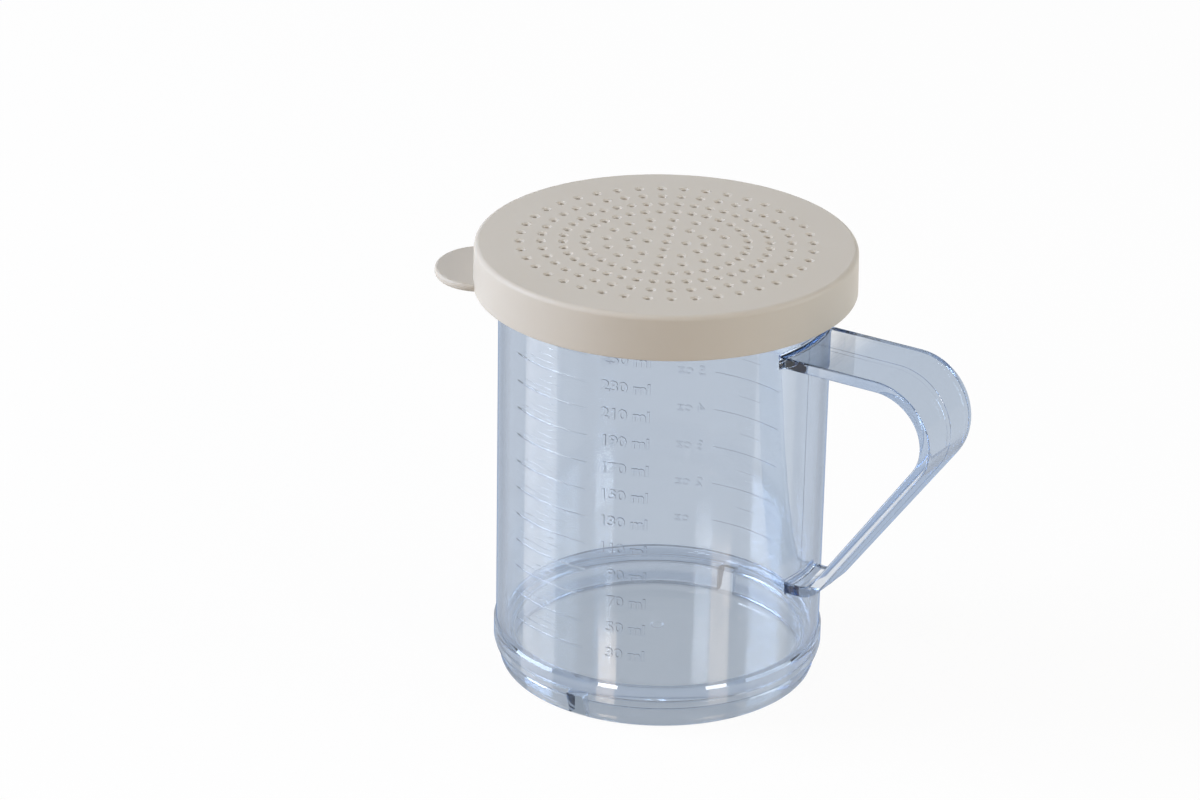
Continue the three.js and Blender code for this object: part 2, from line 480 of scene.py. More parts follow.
class Nodes:
    """The nodes of a material or of the world."""

    def __init__(self, owner: bpy.types.Material | bpy.types.World, output: str) -> None:
        """Starts with only the output node.

        Args:
            owner: the material or the world.
            output: the kind of its output node.
        """
        self.owner = owner
        owner.use_nodes = True
        self.tree = owner.node_tree
        self.tree.nodes.clear()
        self.output = self.add(output)

    @staticmethod
    def of_material(name: str) -> "Nodes":
        """The nodes of a new material."""
        return Nodes(bpy.data.materials.new(name), "ShaderNodeOutputMaterial")

    def add(
        self, kind: str, values: Mapping[str | int, Value] | None = None, **settings: object
    ) -> bpy.types.Node:
        """Adds a node.

        Args:
            kind: the kind of node.
            values: what goes into its sockets, by their names or places.
            settings: its own properties.

        Returns:
            The new node.
        """
        node = self.tree.nodes.new(kind)
        for name, setting in settings.items():
            setattr(node, name, setting)
        for key, value in (values or {}).items():
            self.put(value, node.inputs[key])
        return node

    def put(self, value: Value, socket: Socket) -> None:
        """Links another node's result to a socket, or sets the socket's own value.

        Args:
            value: the other node's socket, a number or a colour.
            socket: the socket that gets it.
        """
        if isinstance(value, Socket):
            self.tree.links.new(value, socket)
        else:
            socket.default_value = (*value, 1.0) if socket.type == "RGBA" else value

    def noise(self, scale: float, detail: float) -> Socket:
        """Noise on Object coordinates.

        Args:
            scale: cells per metre.
            detail: octaves.

        Returns:
            Its value, from 0 to 1.
        """
        values = {"Scale": scale, "Detail": detail, "Vector": self.place()}
        return self.add("ShaderNodeTexNoise", values).outputs["Fac"]

    def place(self) -> Socket:
        """Object coordinates."""
        return self.add("ShaderNodeTexCoord").outputs["Object"]

    def ray(self, question: str) -> Socket:
        """1 for the rays that one of Light Path's questions names, and 0 for others."""
        return self.add("ShaderNodeLightPath").outputs[question]

    def seen(self) -> Socket:
        """1 for a ray that sees the background, also by way of gloss or through clear plastic."""
        mirrored = self.maths("MAXIMUM", self.ray("Is Glossy Ray"), self.ray("Is Transmission Ray"))
        return self.maths("MAXIMUM", self.ray("Is Camera Ray"), mirrored)

    def maths(self, operation: str, first: Value, second: Value) -> Socket:
        """The result of an operation on two numbers."""
        return self.add("ShaderNodeMath", {0: first, 1: second}, operation=operation).outputs[0]

    def spread(self, source: Socket, low: float, high: float) -> Socket:
        """Maps a 0 to 1 value to another range.

        Args:
            source: the value.
            low: what 0 becomes.
            high: what 1 becomes.

        Returns:
            The new value.
        """
        values = {"Value": source, "To Min": low, "To Max": high}
        return self.add("ShaderNodeMapRange", values).outputs["Result"]

    def ramp(self, source: Socket, start: float, end: float, falls: bool = False) -> Socket:
        """Rises softly from 0 to 1, or falls from 1 to 0, while a value crosses a range.

        Args:
            source: the value.
            start: where the range starts.
            end: where it ends.
            falls: whether the result falls.

        Returns:
            The result.
        """
        values = {"Value": source, "From Min": start, "From Max": end}
        values |= {"To Min": float(falls), "To Max": float(not falls)}
        return self.add("ShaderNodeMapRange", values, interpolation_type="SMOOTHSTEP").outputs["Result"]

    def mixed(self, share: Socket, start: Colour | Socket, end: Colour | Socket) -> Socket:
        """Mixes two colours.

        Args:
            share: how much of the second one, from 0 to 1.
            start: the first colour.
            end: the second colour.

        Returns:
            The mixed colour.
        """
        mix = self.add("ShaderNodeMix", {0: share}, data_type="RGBA")
        sockets = [socket for socket in mix.inputs if socket.type == "RGBA"]
        for socket, colour in zip(sockets, (start, end), strict=True):
            self.put(colour, socket)
        return next(socket for socket in mix.outputs if socket.type == "RGBA")

    def mixed_shader(self, share: Socket, start: Socket, end: Socket) -> Socket:
        """Mixes two shaders, with more of the second one for a greater share."""
        return self.add("ShaderNodeMixShader", {0: share, 1: start, 2: end}).outputs["Shader"]

    def bumped(self, height: Socket, strength: float, distance: float) -> Socket:
        """A normal that a height map disturbs.

        Args:
            height: the height map.
            strength: how much of it shows, from 0 to 1.
            distance: metres from its low points to its high ones.

        Returns:
            The normal.
        """
        values = {"Strength": strength, "Distance": distance, "Height": height}
        return self.add("ShaderNodeBump", values).outputs["Normal"]


@dataclass(frozen=True)
class ClearPlastic:
    """Moulded clear polycarbonate with a blue-grey tint in its outside faces.

    The tint sits in the outside faces alone, so that one wall, two walls and the strap look alike. A thin
    absorbing skin on them keeps the rims from showing white, and a darker tint where they turn away is
    painted shade at the rims.
    """

    name: str = "clear_plastic"
    inside_mark: str = "inside"
    tint_low: Colour = (0.438, 0.497, 0.575)
    tint_high: Colour = (0.458, 0.517, 0.595)
    inside_tint: Colour = (0.975, 0.98, 0.985)
    painted_rim_shade: Colour = (0.09, 0.125, 0.18)
    painted_rim_start: float = 0.61
    painted_rim_end: float = 0.80
    skin_tint: Colour = (0.942, 0.958, 0.978)
    index: float = 1.585
    roughness_low: float = 0.01
    roughness_high: float = 0.025
    density: float = 3.0
    absorption: Colour = (0.45, 0.55, 0.70)
    ripple_scale: float = 45.0
    ripple_detail: float = 2.0
    ripple_strength: float = 0.03
    ripple_depth: float = 0.0002

    def material(self) -> bpy.types.Material:
        """Builds the material.

        Returns:
            The new material.
        """
        nodes = Nodes.of_material(self.name)
        cloud = nodes.noise(self.ripple_scale, self.ripple_detail)
        facing = nodes.add("ShaderNodeLayerWeight").outputs["Facing"]
        inside = nodes.add("ShaderNodeAttribute", attribute_name=self.inside_mark).outputs["Fac"]
        tint = nodes.mixed(cloud, self.tint_low, self.tint_high)
        # Painted shade at the rims: a darker tint where the faces turn away from the view.
        outside = nodes.mixed(nodes.ramp(facing, self.painted_rim_start, self.painted_rim_end), tint, self.painted_rim_shade)
        shader = nodes.add(
            "ShaderNodeBsdfPrincipled",
            {
                "Base Color": nodes.mixed(inside, outside, self.inside_tint),
                "IOR": self.index,
                "Transmission Weight": 1.0,
                "Roughness": nodes.spread(cloud, self.roughness_low, self.roughness_high),
                "Normal": nodes.bumped(cloud, self.ripple_strength, self.ripple_depth),
                "Coat Weight": nodes.spread(inside, 1.0, 0.0),
                "Coat IOR": 1.0,
                "Coat Tint": self.skin_tint,
            },
        )
        volume = nodes.add("ShaderNodeVolumeAbsorption", {"Color": self.absorption, "Density": self.density})
        nodes.put(shader.outputs["BSDF"], nodes.output.inputs["Surface"])
        nodes.put(volume.outputs["Volume"], nodes.output.inputs["Volume"])
        return nodes.owner


@dataclass(frozen=True)
class BeigePlastic:
    """Moulded beige polypropylene with a fine satin grain."""

    name: str = "beige_plastic"
    colour_low: Colour = (0.425, 0.377, 0.313)
    colour_high: Colour = (0.453, 0.405, 0.341)
    index: float = 1.49
    shine: float = 0.2
    roughness_low: float = 0.38
    roughness_high: float = 0.5
    grain_scale: float = 2600.0
    grain_detail: float = 2.0
    grain_strength: float = 0.12
    grain_depth: float = 0.00006
    cloud_scale: float = 38.0
    cloud_detail: float = 3.0
    glow: float = 0.12
    glow_reach: float = 0.0012
    glow_by_colour: Colour = (1.0, 0.8, 0.6)

    def material(self) -> bpy.types.Material:
        """Builds the material.

        Returns:
            The new material.
        """
        nodes = Nodes.of_material(self.name)
        cloud = nodes.noise(self.cloud_scale, self.cloud_detail)
        grain = nodes.noise(self.grain_scale, self.grain_detail)
        shader = nodes.add(
            "ShaderNodeBsdfPrincipled",
            {
                "Base Color": nodes.mixed(cloud, self.colour_low, self.colour_high),
                "IOR": self.index,
                "Specular IOR Level": self.shine,
                "Roughness": nodes.spread(grain, self.roughness_low, self.roughness_high),
                "Normal": nodes.bumped(grain, self.grain_strength, self.grain_depth),
                "Subsurface Weight": self.glow,
                "Subsurface Scale": self.glow_reach,
                "Subsurface Radius": self.glow_by_colour,
            },
        )
        nodes.put(shader.outputs["BSDF"], nodes.output.inputs["Surface"])
        return nodes.owner


@dataclass(frozen=True)
class TableTop:
    """White table that keeps the object's shadow and blends into the white background, with painted shadows
    under the jar and round its foot.

    Its polish shows only to rays that the object mirrors. Sizes are in metres, from the jar's axis.
    """

    name: str = "table_top"
    colour: Colour = (0.69, 0.645, 0.60)
    shadow_share: float = 0.05
    polish: Colour = (0.165, 0.135, 0.105)
    polish_roughness: float = 0.05
    centre: tuple[float, float] = (0.0, 0.0)
    # Painted shadows on the table, by distance from the jar's axis: under its floor, under its foot ring, a
    # darker one for rays from the camera, and one round the foot seen through the plastic.
    painted_shadow_under: Colour = (0.49, 0.53, 0.575)
    painted_shadow_ring: Colour = (0.37, 0.41, 0.46)
    painted_ring_start: float = 0.030
    painted_shadow_edge: float = 0.0321
    painted_shadow_blur: float = 0.0006
    painted_notch_shadow: Colour = (0.27, 0.32, 0.385)
    painted_shadow_round: Colour = (0.60, 0.67, 0.76)
    painted_round_edge: float = 0.043
    painted_round_blur: float = 0.006

    def material(self) -> bpy.types.Material:
        """Builds the material.

        Returns:
            The new material.
        """
        nodes = Nodes.of_material(self.name)
        lit = nodes.add("ShaderNodeBsdfDiffuse", {"Color": self.colour})
        # The emission's colour is white with the painted shadows under and round the jar.
        white = nodes.add("ShaderNodeEmission", {"Color": self.painted_shadows(nodes), "Strength": 1.0})
        share = nodes.maths("MULTIPLY", nodes.seen(), 1.0 - self.shadow_share)
        plain = nodes.mixed_shader(share, lit.outputs["BSDF"], white.outputs["Emission"])
        gloss = nodes.add("ShaderNodeBsdfGlossy", {"Color": self.polish, "Roughness": self.polish_roughness})
        polished = nodes.add("ShaderNodeAddShader", {0: plain, 1: gloss.outputs["BSDF"]})
        surface = nodes.mixed_shader(nodes.ray("Is Glossy Ray"), plain, polished.outputs["Shader"])
        nodes.put(surface, nodes.output.inputs["Surface"])
        return nodes.owner

    def painted_shadows(self, nodes: Nodes) -> Socket:
        """White, with painted shadows: under the jar's floor and its foot ring, darker for rays from the
        camera, and, seen through the plastic, round its foot.

        Args:
            nodes: the table's nodes.

        Returns:
            The colour.
        """
        values = {0: nodes.place(), 1: (*self.centre, 0.0)}
        away = nodes.add("ShaderNodeVectorMath", values, operation="DISTANCE").outputs["Value"]
        # Masks of the painted shadows, by distance from the jar's axis.
        in_painted_ring = nodes.ramp(away, self.painted_ring_start, self.painted_ring_start + self.painted_shadow_blur)
        past_painted_shadows = nodes.ramp(away, self.painted_shadow_edge, self.painted_shadow_edge + self.painted_shadow_blur)
        in_painted_round = nodes.ramp(away, self.painted_round_edge, self.painted_round_edge + self.painted_round_blur, falls=True)
        under = nodes.mixed(in_painted_ring, self.painted_shadow_under, self.painted_shadow_ring)
        # Rays from the camera see a darker painted shadow under the jar, through the drain notches and at
        # the foot's bottom edge.
        under = nodes.mixed(nodes.ray("Is Camera Ray"), under, self.painted_notch_shadow)
        # Rays through the plastic see a painted shadow round the foot.
        through = nodes.maths("MULTIPLY", nodes.ray("Is Transmission Ray"), in_painted_round)
        return nodes.mixed(past_painted_shadows, under, nodes.mixed(through, WHITE, self.painted_shadow_round))


@dataclass
class StrapHandle:
    """Flat strap handle: level at the top, round the hand and back down in a straight slope."""

    wall_radius: float
    top: float = 80.9
    foot: float = 26.4
    leg_thickness: float = 2.45
    slope_thickness: float = 2.2
    width_top: float = 20.0
    width_foot: float = 11.6
    reach: float = HANDLE_REACH - SEAM_ROOM
    grip_bend: float = 12.4
    grip_inner: float = 10.1
    foot_bend: float = 6.5
    foot_inner: float = 4.2
    slope: float = 54.7
    root_depth: float = 0.9
    root_fillet: float = 1.0
    root_sunk: float = 0.05
    edge_radius: float = 0.35
    bend_steps: int = 24
    strips: int = 12
    fade_length: float = 11.5
    fade_steps: int = 6
    fade_top: float = 0.75

    def side(self, leg_depth: float, slope_depth: float, bends: tuple[float, float]) -> list[Corner]:
        """Corners along one side of the strap, from its top root to its foot root.

        Args:
            leg_depth: how far the side is set in on the legs.
            slope_depth: how far it is set in on the slope.
            bends: radii of the upper and the lower bend.

        Returns:
            The corners.
        """
        slope = math.radians(self.slope)
        corner = self.reach - self.grip_bend + self.grip_bend / math.tan(slope / 2)
        top = self.top - leg_depth
        foot = self.foot + leg_depth
        upper = corner - slope_depth / math.sin(slope) - leg_depth / math.tan(slope)
        lower = upper - (top - foot) / math.tan(slope)
        flare = self.root_fillet if leg_depth == 0 else -self.root_fillet
        wall = self.wall_radius - self.root_sunk
        buried = self.wall_radius - self.root_depth
        return [
            Corner(buried, top + flare),
            Corner(wall, top + flare),
            Corner(wall, top, self.root_fillet),
            Corner(upper, top, bends[0]),
            Corner(lower, foot, bends[1]),
            Corner(wall, foot, self.root_fillet),
            Corner(wall, foot - flare),
            Corner(buried, foot - flare),
        ]

    def build(self) -> Workpiece:
        """Shapes the strap, with its roots sunk into the jar's wall.

        Returns:
            The strap.
        """
        strap = Workpiece()
        outer = self.side(0.0, 0.0, (self.grip_bend, self.foot_bend))
        inner = self.side(self.leg_thickness, self.slope_thickness, (self.grip_inner, self.foot_inner))
        strap.outline([*outer, *reversed(inner)], self.bend_steps)
        strap.transform(Matrix.Translation((0.0, -0.5, 0.0)))
        strap.extrude(Vector((0.0, 1.0, 0.0)))
        strap.transform(Matrix.Diagonal((1.0, self.width_top, 1.0, 1.0)))
        half = self.width_top / 2
        for strip in range(1, self.strips):
            strap.slice(Side.ACROSS, half * (2 * strip / self.strips - 1))
        for place in (-SEAM_HALF, SEAM_HALF):
            strap.slice(Side.ACROSS, place)
        self.raise_seam(strap)
        self.taper(strap)
        self.round_long_edges(strap)
        for step in range(1, self.fade_steps + 1):
            strap.slice(Side.ALONG, self.wall_radius + self.fade_length * step / self.fade_steps)
        self.bend_roots(strap)
        return strap

    def root_share(self, place: Vector, normal: Vector) -> float:
        """How much of its tint a level face near the jar's wall gives up.

        Args:
            place: the face's middle.
            normal: its normal.

        Returns:
            The share, which fades out to 0 away from the wall.
        """
        on_legs = self.foot - self.root_fillet < place.z < self.top + self.root_fillet
        if not on_legs or place.x < self.wall_radius - self.root_fillet or abs(normal.z) < MOSTLY:
            return 0.0
        most = self.fade_top if place.z > (self.top + self.foot) / 2 else 1.0
        return most * min(1.0, max(0.0, 1.0 - (place.x - self.wall_radius) / self.fade_length))

    def raise_seam(self, strap: Workpiece) -> None:
        """Raises the fine parting line along the middle of the strap's faces.

        Args:
            strap: the strap, before its edges are rounded.
        """
        strap.mesh.normal_update()
        for vert in strap.mesh.verts:
            if abs(vert.co.y) < WELD:
                vert.co += vert.normal * SEAM_HEIGHT

    def taper(self, strap: Workpiece) -> None:
        """Narrows the strap evenly from its top to its foot.

        Args:
            strap: the strap, as wide as its top all over.
        """
        gain = (self.width_top - self.width_foot) / (self.top - self.foot)
        for vert in strap.mesh.verts:
            if abs(vert.co.y) > SEAM_HALF + WELD:
                vert.co.y *= (self.width_top + gain * (vert.co.z - self.top)) / self.width_top

    def round_long_edges(self, strap: Workpiece) -> None:
        """Rounds the long edges round both flat sides of the strap, which have a point for every bend step.

        Args:
            strap: the strap.
        """
        strap.mesh.normal_update()
        sides = [face for face in strap.mesh.faces if len(face.verts) > 4 * self.bend_steps]
        edges = dict.fromkeys(edge for face in sides for edge in face.edges)
        strap.round_edges(list(edges), self.edge_radius)

    def bend_roots(self, strap: Workpiece) -> None:
        """Moves the roots in so that they follow the round wall.

        Args:
            strap: the strap.
        """
        limit = self.wall_radius + self.root_fillet
        for vert in strap.mesh.verts:
            if vert.co.x < limit:
                vert.co.x -= self.wall_radius - math.sqrt(self.wall_radius**2 - vert.co.y**2)


@dataclass(frozen=True)
class Graduation:
    """One measuring scale on the wall.

    Args:
        unit: the unit after each number.
        per_step: how much a step holds.
        step: height of a step.
        first: the step that has the lowest line.
        spans: azimuths of a line's ends, for a numbered line and then for each line up to the next.
        edge: azimuth where the numbers end.
        weight: how far the numbers' sloping sides stand out past the plain letters.
    """

    unit: str
    per_step: float
    step: float
    first: int
    spans: tuple[tuple[float, float], ...]
    edge: float
    weight: float

    def lines(self, room: float) -> range:
        """The steps that have a line, up to a height over the jar's floor."""
        return range(self.first, math.floor(room / self.step) + 1)


@dataclass
class RaisedScale:
    """Raised measuring lines and plain numbers, in millilitres on one side and in ounces on the other."""

    wall_radius: float
    floor: float
    ceiling: float
    relief: float = 0.09
    fine_relief: float = 0.05
    sunk: float = 0.2
    foot_half: float = 0.22
    back_steps: int = 5
    degrees_per_step: float = 1.5
    ridge_tolerance: float = 0.012
    number_size: float = 3.12
    number_stretch: float = 1.19
    number_relief: float = 0.24
    number_bevel_steps: int = 1
    number_curve_steps: int = 3
    millilitres: Graduation = Graduation(
        unit="ml",
        per_step=5.0,
        step=1.495,
        first=6,
        spans=((242.0, 275.0), (247.5, 261.0), (254.0, 263.5), (259.0, 262.0)),
        edge=297.0,
        weight=0.1,
    )
    ounces: Graduation = Graduation(
        unit="oz",
        per_step=0.5,
        step=4.42,
        first=2,
        spans=((72.0, 101.0), (81.5, 90.5)),
        edge=115.5,
        weight=0.0,
    )

    def arc(self, relief: float) -> float:
        """Radius of a raised line's rounded back."""
        return (self.foot_half**2 + relief**2) / (2 * relief)

    def relief_at(self, scale: Graduation, mark: int) -> float:
        """How far a line stands out: a numbered one more than the others."""
        return self.fine_relief if (mark - scale.first) % len(scale.spans) else self.relief

    def line(self, span: tuple[float, float], height: float, relief: float) -> Workpiece:
        """One raised line, a low ridge swept round the wall.

        Args:
            span: azimuths of its ends.
            height: height of its middle.
            relief: how far it stands out.

        Returns:
            The line, with its foot sunk into the wall.
        """
        line = Workpiece()
        arc = self.arc(relief)
        slope = math.asin(self.foot_half / arc)
        peak = self.foot_half * math.tan(slope)
        root = self.foot_half + self.sunk / math.tan(slope)
        corners = [
            Corner(self.wall_radius - self.sunk, height - root),
            Corner(self.wall_radius + peak, height, arc),
            Corner(self.wall_radius - self.sunk, height + root),
        ]
        line.outline(corners, self.back_steps)
        start, end = span
        line.transform(turned_about_axis(start))
        line.sweep(end - start, math.ceil((end - start) / self.degrees_per_step))
        return line

    def letters(self, text: str, weight: float) -> Workpiece:
        """Plain letters, flat, with their last one's edge at zero.

        Args:
            text: what they say.
            weight: how far their sloping sides stand out past the plain letters.

        Returns:
            The letters as solids.
        """
        letters = bpy.data.curves.new("letters", "FONT")
        letters.body = text
        letters.size = self.number_size
        letters.align_x = "RIGHT"
        letters.bevel_depth = weight
        letters.bevel_resolution = self.number_bevel_steps
        letters.extrude = (self.number_relief + self.sunk) / 2 - weight
        letters.resolution_u = self.number_curve_steps
        holder = put_in_scene("letters", letters)
        graph = bpy.context.evaluated_depsgraph_get()
        data = bpy.data.meshes.new_from_object(holder.evaluated_get(graph))
        made = Workpiece()
        made.mesh.from_mesh(data)
        bpy.data.objects.remove(holder)
        bpy.data.curves.remove(letters)
        bpy.data.meshes.remove(data)
        made.close()
        return made

    def number(self, scale: Graduation, mark: int) -> Workpiece:
        """A plain number with its unit, wrapped round the wall beside its line.

        Args:
            scale: the scale that it belongs to.
            mark: the step of its line.

        Returns:
            The number, with its back sunk into the wall.
        """
        number = self.letters(f"{mark * scale.per_step:g} {scale.unit}", scale.weight)
        middle = self.wall_radius + (self.number_relief - self.sunk) / 2
        tall = [vert.co.y for vert in number.mesh.verts]
        lift = self.floor + mark * scale.step - (min(tall) + max(tall)) / 2
        for vert in number.mesh.verts:
            azimuth = scale.edge + math.degrees(vert.co.x * self.number_stretch / self.wall_radius)
            vert.co = polar(middle + vert.co.z, azimuth, vert.co.y + lift)
        number.close()
        return number

    def ridge_normals(self, spots: Sequence[Vector]) -> list[Vector]:
        """Exact normals at a face's corners, if it lies on a raised line's rounded back.

        Args:
            spots: the face's corners.

        Returns:
            One normal a corner, or nothing where the face is not part of a raised line.
        """
        proud = max(spot.xy.length for spot in spots) - self.wall_radius
        if not WELD < proud < self.relief + WELD:
            return []
        middle = sum(spots, Vector()) / len(spots)
        scale = self.millilitres if middle.y < 0 else self.ounces
        mark = round((middle.z - self.floor) / scale.step)
        relief = self.relief_at(scale, mark)
        arc = self.arc(relief)
        axis = self.wall_radius + relief - arc
        normals: list[Vector] = []
        for spot in spots:
            around = spot.xy.normalized() * (spot.xy.length - axis)
            normal = Vector((around.x, around.y, spot.z - self.floor - mark * scale.step))
            if abs(normal.length - arc) > self.ridge_tolerance:
                return []
            normals.append(normal.normalized())
        return normals

    def parting_line(self, low: float, high: float) -> Workpiece:
        """The fine upright parting line between the handle's roots, from one height to another."""
        place = (self.wall_radius + SEAM_HEIGHT - self.sunk, 0.0, (low + high) / 2)
        return Workpiece.block((2 * self.sunk, 2 * SEAM_HALF, high - low), place)

    def build(self) -> Workpiece:
        """All lines and numbers as one mesh of separate ridges.

        Returns:
            The ridges.
        """
        relief = Workpiece()
        scales = (self.millilitres, self.ounces)
        room = self.ceiling - self.foot_half - self.floor
        for scale in scales:
            for mark in scale.lines(room):
                span = scale.spans[(mark - scale.first) % len(scale.spans)]
                relief.add(self.line(span, self.floor + mark * scale.step, self.relief_at(scale, mark)))
        for scale in scales:
            for mark in scale.lines(room)[:: len(scale.spans)]:
                relief.add(self.number(scale, mark))
        return relief


@dataclass
class Jar:
    """Clear jar: wall, raised floor, foot ring, bead, flared collar, strap handle and raised scales."""

    wall_radius: float = 34.4
    wall_inner: float = 32.65
    floor: float = 8.1
    floor_fillet: float = 2.3
    floor_underside: float = 5.7
    underside_fillet: float = 0.8
    fine_edge: float = 0.12
    bead_radius: float = 34.85
    bead_top: float = 9.6
    bead_edge: float = 0.25
    bead_shoulder: float = 0.55
    bead_blend: float = 0.15
    ledge_radius: float = 34.6
    ledge_height: float = 4.55
    groove_radius: float = 34.4
    groove_width: float = 0.4
    foot_radius: float = 33.5
    foot_inner: float = 31.0
    foot_height: float = 2.0
    foot_edge: float = 1.45
    foot_inner_edge: float = 0.25
    foot_blend: float = 0.3
    collar_radius: float = 37.45
    collar_inner: float = 35.7
    flare_start: float = 84.0
    flare_top: float = 87.0
    flare_blend: float = 1.0
    flare_inner_start: float = 0.85
    flare_inner_top: float = 0.9
    flare_inner_blend: float = 1.5
    rim_top: float = 93.0
    rim_edge: float = 0.5
    drain_width: float = 4.0
    drain_turn: float = 2.0
    drain_edge: float = 0.4
    drain_below: float = 5.0
    drain_depth: float = 1.5
    core_height: float = 40.0
    gate_radius: float = 1.3
    gate_height: float = 0.3
    segments: int = 240
    corner_steps: int = 6
    ring_share: float = 0.6
    ring_width: float = 0.7
    side_share: float = 0.4
    side_start: float = 1.0
    finish: ClearPlastic = field(default_factory=ClearPlastic)

    def profile(self) -> list[Corner]:
        """Corners of the jar's section, from under the floor's middle round to its top.

        Returns:
            The corners.
        """
        gate_bottom = self.floor_underside - self.gate_height
        groove_top = self.ledge_height + self.groove_width
        bead_bottom = self.ledge_height + 2 * self.groove_width
        return [
            Corner(0.0, gate_bottom),
            Corner(self.gate_radius, gate_bottom, self.fine_edge),
            Corner(self.gate_radius, self.floor_underside, self.fine_edge),
            Corner(self.foot_inner, self.floor_underside, self.underside_fillet),
            Corner(self.foot_inner, 0.0, self.foot_inner_edge),
            Corner(self.foot_radius, 0.0, self.foot_edge),
            Corner(self.foot_radius, self.foot_height, self.foot_blend),
            Corner(self.ledge_radius, self.ledge_height, self.fine_edge),
            Corner(self.groove_radius, groove_top, self.fine_edge),
            Corner(self.bead_radius, bead_bottom, self.bead_edge),
            Corner(self.bead_radius, self.bead_top - self.bead_shoulder, self.fine_edge),
            Corner(self.wall_radius, self.bead_top + self.bead_blend, self.bead_blend),
            Corner(self.wall_radius, self.flare_start, self.flare_blend),
            Corner(self.collar_radius, self.flare_top, self.flare_blend),
            Corner(self.collar_radius, self.rim_top, self.rim_edge),
            Corner(self.collar_inner, self.rim_top, self.rim_edge),
            Corner(self.collar_inner, self.flare_top + self.flare_inner_top, self.flare_inner_blend),
            Corner(self.wall_inner, self.flare_start + self.flare_inner_start, self.flare_inner_blend),
            Corner(self.wall_inner, self.floor, self.floor_fillet),
            Corner(0.0, self.floor),
        ]

    def notches(self) -> bpy.types.Object:
        """Cutter for the two drain notches, which goes through the foot ring and not the gate mark.

        Returns:
            The cutter.
        """
        depth = self.floor_underside + self.drain_below
        size = (self.drain_width, 3 * self.bead_radius, depth)
        cutter = Workpiece.block(size, (0.0, 0.0, self.floor_underside - depth / 2))
        straight = [e for e in cutter.mesh.edges if abs(e.verts[0].co.x - e.verts[1].co.x) < WELD]
        long_top = [e for e in straight if all(v.co.z > 0 for v in e.verts)]
        cutter.round_edges(long_top, self.drain_edge)
        cutter.transform(turned_about_axis(self.drain_turn))
        core = (2 * self.bead_radius, 2 * (self.foot_inner - self.drain_depth), self.core_height)
        ends = cutter.finish("notches")
        Joinery.combine(ends, Workpiece.block(core, (0.0, 0.0, 0.0)).finish("middle"), "DIFFERENCE")
        return ends

    def build(self, bench: Bench) -> bpy.types.Object:
        """Builds the jar as one piece of plastic.

        Args:
            bench: the place of the jar's axis.

        Returns:
            The jar.
        """
        turned = Workpiece()
        turned.outline(self.profile(), self.corner_steps)
        turned.turn(self.segments)
        jar = turned.finish("jar")
        Joinery.combine(jar, self.notches(), "DIFFERENCE")
        strap = StrapHandle(self.wall_radius)
        Joinery.combine(jar, strap.build().finish("strap"), "UNION")
        scale = RaisedScale(self.wall_radius, self.floor, self.flare_start)
        relief = scale.build()
        seam_foot = strap.foot - strap.root_fillet / 2
        relief.add(scale.parting_line(seam_foot, strap.top - strap.leg_thickness / 2))
        Joinery.combine(jar, relief.finish("scale"), "UNION")
        self.dress(jar, strap)
        walls = (self.wall_radius, self.wall_inner, self.bead_radius, self.wall_radius + scale.number_relief)
        Smoothing(round_walls=walls).apply(jar, scale.ridge_normals)
        bench.place(jar)
        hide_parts("jar_body", "handle")
        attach(jar, Body.JAR.value)
        return jar

    def dress(self, jar: bpy.types.Object, strap: StrapHandle) -> None:
        """Gives the jar its plastic, and marks the faces that carry less of its tint.

        Args:
            jar: the jar, still about its own axis.
            strap: its handle.
        """
        jar.data.materials.clear()
        jar.data.materials.append(self.finish.material())
        mark = jar.data.attributes.new(self.finish.inside_mark, "FLOAT", "FACE")
        for face in jar.data.polygons:
            mark.data[face.index].value = self.share_given_up(face.center, face.normal, strap)

    def share_given_up(self, middle: Vector, normal: Vector, strap: StrapHandle) -> float:
        """How much of the tint a face gives up.

        Args:
            middle: the face's middle.
            normal: its normal.
            strap: the jar's handle.

        Returns:
            The share, from 0 on the outside to 1 on the inside.
        """
        away = middle.xy.length
        inwards = normal.xy.dot(middle.xy) < 0
        over_floor = middle.z > self.floor - WELD and away < self.wall_inner
        under_floor = middle.z < self.floor_underside + WELD and away < self.foot_inner + WELD
        in_collar = inwards and middle.z > self.floor and away < self.collar_radius
        if under_floor and away > self.foot_inner - self.ring_width:
            return self.ring_share
        if middle.x > self.wall_radius + self.side_start and abs(normal.y) > MOSTLY:
            return self.side_share
        if over_floor or under_floor or in_collar:
            return 1.0
        return strap.root_share(middle, normal)


